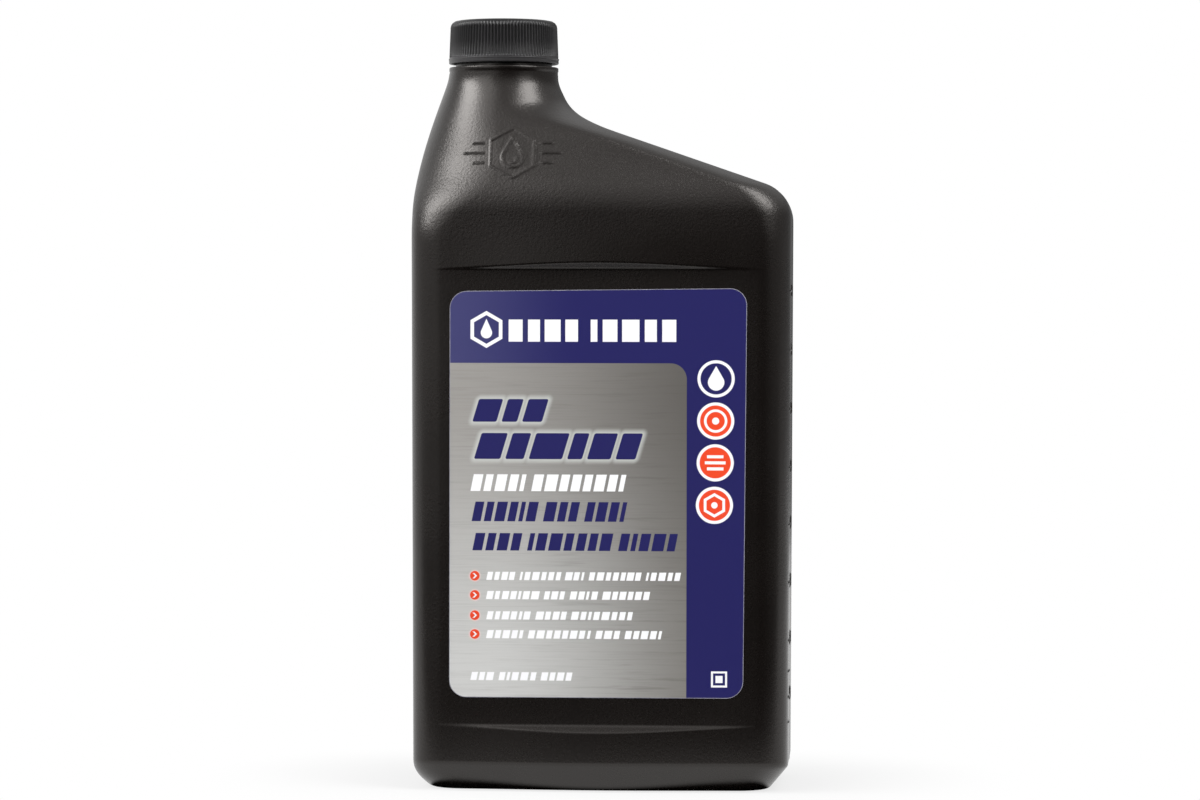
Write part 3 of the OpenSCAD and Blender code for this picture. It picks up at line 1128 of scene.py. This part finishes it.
def bottle_finish():
    recipe, shader, place = new_finish(
        "charcoal_polyethylene", Specular_IOR_Level=0.5, IOR=1.54, Specular_Tint=(1.0, 0.955, 0.92, 1.0)
    )
    x, y, z = recipe.axes(place)
    grain = recipe.noise(place, 1.3, detail=3.0, roughness=0.65)
    haze = recipe.noise(place, 0.05, detail=2.0)
    wave = recipe.noise(place, 0.035, detail=0.0)
    shoulder = z.from_to(*SHOULDER_FADE_Z) * (1 - z.from_to(*NECK_FADE_Z))
    grain_high = grain * (0.35 + 0.65 * shoulder)
    colour = recipe.blend(haze, tone(13.5, 10, 8.5), tone(17, 12.5, 10.5))
    rough = 0.22 + 0.05 * haze + 0.05 * grain + 0.05 * shoulder
    slow = recipe.bump(wave, 0.3 * MM)
    skin_normal = recipe.bump(grain_high, 0.11 * MM, under=slow)
    return dress(recipe, shader, Base_Color=colour, Roughness=rough, Normal=skin_normal)


polyethylene = bottle_finish()
shell.data.materials.append(polyethylene)
neck_thread.data.materials.append(polyethylene)

# %% [markdown]
# ## The cap's plastic and the foam
#
# The cap is moulded from black polypropylene, cooler in tone than the bottle and a little duller. Its skin
# has faint flow streaks along the flutes. Shade is painted into the grooves between the flutes, and their
# crests are painted paler, partly as rubbing by hands and partly as painted highlight. The foam is
# off-white, matte, and full of small closed cells.

# %% Finish of the cap and the liner


def disc(x, z, centre, radius):
    across = x - centre[0]
    up = z - centre[1]
    return (across * across + up * up).root() - radius


def cap_finish():
    recipe, shader, place = new_finish("black_polypropylene", Specular_IOR_Level=0.38, IOR=1.49)
    x, y, z = recipe.axes(place)
    streaks = recipe.noise(recipe.stretched(place, (1.2, 1.2, 0.15)), 1.0, detail=3.0)
    grain = recipe.noise(place, 3.5, detail=2.0)
    taper = (SKIRT_R - SKIRT_TOP_R) / (FLUTE_TOP_Z - BAND_TOP_Z)
    reach = disc(x, y, (NECK_X, 0.0), SKIRT_R) + (z - BAND_TOP_Z) * taper
    # The grooves are painted dark as shade, and the crests pale, partly as wear and partly as painted
    # highlight.
    tone_mix = reach.from_to(-FLUTE_DEPTH, 0.0) * (0.6 + 0.4 * streaks)
    colour = recipe.blend(tone_mix, tone(12, 11.5, 12), tone(58, 57, 58))
    rough = 0.3 + 0.1 * streaks
    return dress(recipe, shader, Base_Color=colour, Roughness=rough, Normal=recipe.bump(grain, 0.02 * MM))


def foam_finish():
    recipe, shader, place = new_finish("liner_foam", Specular_IOR_Level=0.3)
    cells = recipe.add("ShaderNodeTexVoronoi", None, {"Vector": place, "Scale": 2.2})
    colour = recipe.blend(cells, tone(222, 221, 214), tone(240, 239, 233))
    rough = 0.75 + 0.15 * cells
    return dress(recipe, shader, Base_Color=colour, Roughness=rough, Normal=recipe.bump(cells, 0.08 * MM))


polypropylene = cap_finish()
cap.data.materials.append(polypropylene)
cap_thread.data.materials.append(polypropylene)
liner.data.materials.append(foam_finish())
print("finishes:", ", ".join(m.name for m in bpy.data.materials))

# %% [markdown]
# ## The label's print
#
# The print is drawn by distance: each shape is a sum that is negative inside and positive outside, and a mask
# turns it into ink with a clean edge at any size. The design is a plain one of navy, silver, white and
# orange-red fields, with rows of small blocks and four round badges.

# %% Masks from distances
EDGE = 0.09


def ink(distance, edge=EDGE):
    """1 inside a shape and 0 outside, with an edge of that many millimetres."""
    return distance.math("MULTIPLY_ADD", distance, -1 / edge, 0.5, clamped=True)


def block(x, z, centre, half, corner=0.0, lean=0.0):
    """Distance to a rounded block that may lean like slanted print."""
    up = z - centre[1]
    across = (x - centre[0] - up * lean if lean else x - centre[0]).size() - (half[0] - corner)
    above = up.size() - (half[1] - corner)
    if not corner:
        return across.at_least(above)
    wide = across.at_least(0.0)
    tall = above.at_least(0.0)
    return (wide * wide + tall * tall).root() + across.at_least(above).at_most(0.0) - corner


def hexagon(x, z, centre, radius):
    across = (x - centre[0]).size()
    up = (z - centre[1]).size()
    return (up * cos(pi / 6) + across * sin(pi / 6)).at_least(across) - radius


def drop_shape(x, z, centre, radius, tip):
    lean = radius / tip
    up = z - centre[1]
    flank = (x - centre[0]).size() * sqrt(1 - lean * lean) + up * lean - tip * lean
    return disc(x, z, centre, radius).at_most(flank.at_least(radius * lean - up))


def ring_of(distance, half_width):
    return distance.size() - half_width


# %% Places of the print, in millimetres on the label


class Row(NamedTuple):
    level: float
    half_high: float
    start: float
    end: float
    words: tuple


FIELD_LOW_Z = -20.0
FIELD_TOP_Z = 120.5
FIELD_LEFT_X = -60.0
FIELD_RIGHT_X = 24.9
FIELD_R = 4.5
SLANT = 0.2
WHITE = tone(244, 244, 246)
NAVY = tone(29, 27, 92)
NAVY_LEFT = tone(62, 62, 110)
ORANGE = tone(236, 68, 27)
PALE_ORANGE = tone(236, 206, 198)
HALO = tone(206, 209, 205)
DARK_STREAK = tone(92, 89, 84)
# Painted reflection of the silver film: the ends of its pale-to-dark sweep, and where the sweep runs.
PAINTED_REFLECTION_LOW = (tone(206, 206, 204), tone(123, 120, 115))
PAINTED_REFLECTION_HIGH = (tone(159, 156, 152), tone(95, 92, 88))
REFLECTION_LOW_RUN_X = (-34, 37)
REFLECTION_HIGH_RUN_X = (-42, 36)
REFLECTION_RISE_Z = (30, 116)
NAVY_RUN_X = (-46, -4)
METAL_SHARE = 0.12
PRINT_SLIP = 0.2
MARK = (-31.4, 129.9)
HEADER_ROW = Row(129.6, 3.1, -25.2, 21.8, (4, 5))
BIG_Z = (107.2, 97.2)
BIG_HALF = (3.2, 3.65)
BIG_TOP = ((-34.4, -27.6), (-26.2, -21.8), (-20.4, -14.8))
BIG_LOW = ((-33.8, -26.4), (-25.0, -19.8), (-18.4, -9.0), (-7.6, -3.4), (-2.0, 4.6), (6.0, 11.6))
NAVY_ROWS = (Row(78.8, 2.75, -35.0, 7.6, (6, 3, 4)), Row(70.3, 2.45, -35.0, 22.0, (4, 7, 5)))
WHITE_ROWS = (
    Row(86.9, 2.35, -35.4, 7.4, (5, 8)),
    Row(60.7, 1.15, -31.3, 23.1, (4, 6, 3, 7, 5)),
    Row(55.3, 1.15, -31.3, 14.4, (7, 3, 4, 6)),
    Row(49.6, 1.15, -31.3, 9.7, (6, 4, 8)),
    Row(44.3, 1.15, -31.3, 17.8, (5, 8, 3, 5)),
    Row(32.5, 1.15, -35.7, -7.3, (3, 5, 4)),
)
BULLETS = tuple((-34.6, z) for z in (60.7, 55.3, 49.6, 44.3))
BULLET_R = 1.35
BULLET_HALO = 0.6
BADGES = ((33.1, 116.2), (33.0, 104.4), (32.9, 92.7), (32.7, 80.8))
BADGE_R = 5.2
BADGE_LINE = 0.42
TILE = (34.1, 32.0)
print(len(NAVY_ROWS) + len(WHITE_ROWS), "rows of blocks and", len(BADGES), "badges")

# %% [markdown]
# A colour ramp holds one row. Its stops switch the ink on and off along the line, so a row of many blocks
# costs a few nodes. The blocks' widths follow a short list that goes round and round, which keeps the rhythm
# of print uneven. A ramp takes no more than 32 stops, so a long row has two.

# %% Rows of blocks
BLOCK_WIDTHS = (5.0, 4.2, 5.6, 4.6, 2.4, 5.2, 6.2, 4.4)
BLOCK_GAP = 1.7
WORD_GAP = 4.4
ROW_MARGIN = 0.5
STOPS_PER_RAMP = 30


def block_edges(words):
    """Where the ink starts and stops along a row of words, each a count of blocks, from 0 to 1."""
    edges = []
    at = 0.0
    for letters in words:
        for _ in range(letters):
            width = BLOCK_WIDTHS[len(edges) // 2 % len(BLOCK_WIDTHS)]
            edges += [at, at + width]
            at += width + BLOCK_GAP
        at += WORD_GAP - BLOCK_GAP
    return [edge / edges[-1] for edge in edges]


def row_ink(recipe, x, z, row, lean=SLANT):
    up = z - row.level
    slid = x - up * lean if lean else x
    length = row.end - row.start
    span = length + 2 * ROW_MARGIN
    along = slid.math("MULTIPLY_ADD", slid, 1 / span, (ROW_MARGIN - row.start) / span)
    edges = [(ROW_MARGIN + edge * length) / span for edge in block_edges(row.words)]
    parts = [edges[i:i + STOPS_PER_RAMP] for i in range(0, len(edges), STOPS_PER_RAMP)]
    found = sum(recipe.add("ShaderNodeValToRGB", {"stops": part}, {0: along}) for part in parts)
    return found * ink(up.size() - row.half_high)


def rows_ink(recipe, x, z, rows):
    return sum(row_ink(recipe, x, z, row) for row in rows)


print("a word of three blocks changes at", [round(edge, 2) for edge in block_edges((3,))])

# %% Inks of the label


def silver_tone(recipe, x, z, streaks, bands):
    """Brushed film, its reflection painted: pale lower left, darker upper right, with level streaks and bands.
    """
    # The sweep from pale to dark across the silver is painted reflection; the streaks and bands are the
    # brushed print.
    low_reflection = recipe.blend(x.from_to(*REFLECTION_LOW_RUN_X), *PAINTED_REFLECTION_LOW)
    high_reflection = recipe.blend(x.from_to(*REFLECTION_HIGH_RUN_X), *PAINTED_REFLECTION_HIGH)
    plain = recipe.blend(z.from_to(*REFLECTION_RISE_Z), low_reflection, high_reflection)
    plain = recipe.blend(bands.from_to(0.52, 0.72) * (0.1 + 0.22 * x.from_to(-30, 20)), plain, DARK_STREAK)
    return recipe.blend(streaks.from_to(0.45, 0.85) * 0.3, plain, DARK_STREAK)


def header_ink(recipe, x, z):
    outline = ring_of(hexagon(x, z, MARK, 4.0), 0.5)
    drop = drop_shape(x, z, (MARK[0], MARK[1] - 0.9), 1.6, 3.9)
    return ink(outline.at_most(drop)) + row_ink(recipe, x, z, HEADER_ROW, lean=0.0)


def big_blocks(x, z):
    """Distance to the nearest of the large leaning blocks."""
    shapes = [
        block(x, z, ((start + end) / 2, level), ((end - start) / 2, half_high), 0.5, 0.3)
        for level, half_high, places in zip(BIG_Z, BIG_HALF, (BIG_TOP, BIG_LOW))
        for start, end in places
    ]
    return reduce(Wire.at_most, shapes)


def ink_field(recipe, x, z, paint):
    """Lays halo, navy and white on the silver, and tells how bare it still is."""
    large = big_blocks(x, z)
    halo = (1 - large.from_to(0.0, 1.7)) * 0.75
    navy = ink(large) + rows_ink(recipe, x, z, NAVY_ROWS)
    white = rows_ink(recipe, x, z, WHITE_ROWS)
    paint = recipe.blend(halo, paint, HALO)
    paint = recipe.blend(navy, paint, NAVY)
    return recipe.blend(white, paint, WHITE), (1 - navy) * (1 - white)


def ink_bullets(recipe, x, z, paint):
    for cx, cz in BULLETS:
        dot = disc(x, z, (cx, cz), BULLET_R)
        up = (z - cz).size()
        hook = ((x - (cx + 0.35)) + up).size().at_least(up * 1.6 - 0.9) - 0.28
        paint = recipe.blend((1 - dot.from_to(0.0, BULLET_HALO)) * 0.8, paint, PALE_ORANGE)
        paint = recipe.blend(ink(dot), paint, ORANGE)
        paint = recipe.blend(ink(hook.at_least(up - 0.75)), paint, WHITE)
    return paint


def badge_motif(x, z, centre, which):
    """A drop, a wheel, three bars or a nut."""
    cx, cz = centre
    if which == 0:
        return drop_shape(x, z, (cx, cz - 1.0), 2.3, 4.6)
    if which == 1:
        wheel = ring_of(disc(x, z, centre, 2.9), 0.36)
        return wheel.at_most(disc(x, z, centre, 1.0))
    if which == 2:
        bars = [block(x, z, (cx, cz + 1.7 * k), (2.9 - 0.6 * abs(k), 0.42)) for k in (-1, 0, 1)]
        return reduce(Wire.at_most, bars)
    nut = ring_of(hexagon(x, z, centre, 2.6), 0.38)
    return nut.at_most(disc(x, z, centre, 0.9))


def ink_badges(recipe, x, z, paint):
    for which, centre in enumerate(BADGES):
        away = disc(x, z, centre, BADGE_R)
        paint = recipe.blend(ink(away), paint, WHITE)
        paint = recipe.blend(ink(away + 2 * BADGE_LINE), paint, ORANGE if which else NAVY)
        paint = recipe.blend(ink(badge_motif(x, z, centre, which)), paint, WHITE)
    frame_line = block(x, z, TILE, (2.25, 2.25))
    paint = recipe.blend(ink(frame_line), paint, WHITE)
    paint = recipe.blend(ink(frame_line + 0.55), paint, NAVY)
    return recipe.blend(ink(frame_line + 1.25), paint, WHITE)


# %% [markdown]
# The film is metallised, so bare silver takes a little of its tone from what it mirrors, and the streaks of
# the brush break that up. The rest of its reflection is painted into the silver's colour, a sweep from pale
# at the lower left to darker at the upper right. Ink hides the metal. The cut edge shows the pale core of
# the film.

# %% Finish of the label


def label_finish():
    recipe, shader, place = new_finish("printed_film", Specular_IOR_Level=0.5, IOR=1.5)
    x, y, z = recipe.axes(place)
    x = x - PRINT_SLIP
    streaks = recipe.noise(recipe.stretched(place, (0.035, 1.0, 3.2)), 1.0, detail=4.0, roughness=0.65)
    bands = recipe.noise(recipe.stretched(place, (0.045, 1.0, 0.8)), 1.0, detail=3.0, roughness=0.6)
    field_half = ((FIELD_RIGHT_X - FIELD_LEFT_X) / 2, (FIELD_TOP_Z - FIELD_LOW_Z) / 2)
    field = block(x, z, (FIELD_RIGHT_X - field_half[0], FIELD_TOP_Z - field_half[1]), field_half, FIELD_R)
    silver = ink(field)
    paint, bare = ink_field(recipe, x, z, silver_tone(recipe, x, z, streaks, bands))
    paint = ink_bullets(recipe, x, z, paint)
    navy = recipe.blend(x.from_to(*NAVY_RUN_X), NAVY_LEFT, NAVY)
    header = recipe.blend(header_ink(recipe, x, z), navy, WHITE)
    paint = ink_badges(recipe, x, z, recipe.blend(silver, header, paint))
    metal = silver * bare * METAL_SHARE
    rough = 0.29 + 0.1 * streaks
    relief = recipe.bump(streaks * silver, 0.01 * MM)
    return dress(recipe, shader, Base_Color=paint, Metallic=metal, Roughness=rough, Normal=relief)


def film_edge_finish():
    recipe, shader, place = new_finish("film_core", Specular_IOR_Level=0.5)
    tone_mix = recipe.noise(place, 0.4, detail=2.0)
    colour = recipe.blend(tone_mix, tone(104, 102, 124), tone(164, 163, 170))
    return dress(recipe, shader, Base_Color=colour, Roughness=0.5 + 0.1 * tone_mix)


label.data.materials.append(label_finish())
label.data.materials.append(film_edge_finish())
print("the label's recipe has", len(label.data.materials[0].node_tree.nodes), "nodes")

# %% [markdown]
# ## Floor, light and background
#
# The bottle stands on a white table. Its dark front mirrors what is before it, and in the picture that is a
# dark room with a white sheet close by, so in mirrors the table fades to dark in front. The world is white to
# the camera. To everything else it is a studio: pale behind and above, grey at the sides, dark round the
# camera. Soft boxes high at the left and the right draw the bright bands on the shoulder, and two dimmer
# ones nearer the camera fill the front.

# %% The table
TABLE_HALF = 1.2
TABLE_COLOUR = (0.6, 0.6, 0.6, 1.0)
FOOTPRINT = (47.5, 24.0)
FOOTPRINT_R = 7.0
CONTACT_REACH = 1.5
SHADOW_REACH = 75.0
SHADOW_SHARE = 0.27
DARK_ROOM_Y = (-115.0, -55.0)


def add_table():
    bm = bmesh.new()
    bmesh.ops.create_grid(bm, x_segments=1, y_segments=1, size=TABLE_HALF)
    table = put_in_scene("table", mesh_of("table", bm))
    table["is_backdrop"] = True
    return table


def table_finish():
    """White to the camera and in mirrors, apart from the bottle's soft shadow and the dark room in front."""
    recipe = Recipe(bpy.data.materials.new("white_table"))
    nodes = recipe.tree.nodes
    nodes.clear()
    seen = recipe.add("ShaderNodeLightPath", output="Is Camera Ray")
    mirrored = recipe.add("ShaderNodeLightPath", output="Is Glossy Ray")
    through = recipe.add("ShaderNodeLightPath", output="Is Transmission Ray")
    x, y, z = recipe.axes(recipe.place())
    away = block(x, y, (0.0, 0.0), FOOTPRINT, FOOTPRINT_R)
    # In mirrors the glow is dark right by the footprint, a painted contact shadow, and fades in front for the
    # dark room.
    lit = away.from_to(0.0, CONTACT_REACH) * y.from_to(*DARK_ROOM_Y)
    bright = 1 - SHADOW_SHARE * (1 - away.from_to(0.0, SHADOW_REACH))
    share = (seen * bright).at_least(mirrored).at_least(through)
    matte = recipe.add("ShaderNodeBsdfDiffuse", None, {"Color": TABLE_COLOUR})
    glow = recipe.add("ShaderNodeEmission", None, {"Strength": seen.at_least(through).at_least(lit)})
    out = nodes.new("ShaderNodeOutputMaterial")
    recipe.feed(out.inputs["Surface"], recipe.add("ShaderNodeMixShader", None, {0: share, 1: matte, 2: glow}))
    return recipe.owner


table = add_table()
table.data.materials.append(table_finish())
print("table", 2 * TABLE_HALF, "m wide")

# %% The studio round the bottle
ABOVE_RUN = (0.06, 0.62)
ABOVE_LIGHT = 0.62
LEFT_SLOPE = -5.0
LEFT_START = 0.42
LEFT_LIGHT = 0.6
RIGHT_RUN = (0.45, 1.0)
RIGHT_LIGHT = 0.26
BEHIND_RUN = (0.1, 0.6)
BEHIND_TURN = (0.2, -0.5)
BEHIND_LIGHT = (0.2, 0.7)
ROOM_LIGHT = 0.01
LAMP_TARGET = Vector((0.0, 0.0, 0.17))
SOFT_BOXES = {
    "soft_box_left": (-72, 36, 0.9, (0.42, 0.46), 9.8),
    "soft_box_left_fill": (-41, 36, 1.0, (0.6, 0.8), 1.8),
    "soft_box_right": (62, 46, 0.9, (0.46, 0.56), 8.0),
    "soft_box_right_fill": (50, 20, 1.0, (0.5, 0.3), 1.1),
}


def add_world():
    world = bpy.data.worlds.new("studio")
    bpy.context.scene.world = world
    recipe = Recipe(world)
    background = recipe.tree.nodes["Background"]
    x, y, z = recipe.axes(recipe.add("ShaderNodeTexCoord", output=0))
    above = z.from_to(*ABOVE_RUN) * ABOVE_LIGHT
    left = (x * LEFT_SLOPE - LEFT_START).at_least(0.0).at_most(LEFT_LIGHT)
    right = x.from_to(*RIGHT_RUN) * RIGHT_LIGHT
    low, rise = BEHIND_LIGHT
    behind = y.from_to(*BEHIND_RUN) * (low + rise * x.from_to(*BEHIND_TURN))
    light = above.at_least(left).at_least(right).at_least(behind) + ROOM_LIGHT
    seen = recipe.add("ShaderNodeLightPath", output="Is Camera Ray")
    recipe.feed(background.inputs["Color"], (1.0, 1.0, 1.0, 1.0))
    recipe.feed(background.inputs["Strength"], light + (1.0 - light) * seen)
    return world


def add_soft_box(name, azimuth, elevation, distance, size, brightness):
    """An area lamp that faces the shoulder. Azimuth 0 is in front, and brightness 1 is a lit white card."""
    lamp = bpy.data.lights.new(name, "AREA")
    lamp.shape = "RECTANGLE"
    lamp.size, lamp.size_y = size
    lamp.energy = brightness * pi * size[0] * size[1]
    box = put_in_scene(name, lamp)
    a, e = radians(azimuth), radians(elevation)
    away = Vector((sin(a) * cos(e), -cos(a) * cos(e), sin(e)))
    box.location = LAMP_TARGET + away * distance
    box.rotation_euler = away.to_track_quat("Z", "Y").to_euler()
    return box


add_world()
for name, setting in SOFT_BOXES.items():
    add_soft_box(name, *setting)
view = bpy.context.scene.view_settings
view.view_transform = "Standard"
print("lamps:", ", ".join(lamp.name for lamp in bpy.data.lights))

# %% [markdown]
# ## The size of the dressed bottle
#
# Both boxes, that of the solids and that of the dressed bottle, are gathered, and the size of the dressed
# bottle is printed in millimetres.

# %% Gather the sizes and print them
sizes = {"cad": [list(c) for c in CAD_BOX], "visual": [list(c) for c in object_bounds()]}
print("size in mm:", [round((b - a) / MM, 2) for a, b in zip(*sizes["visual"])])
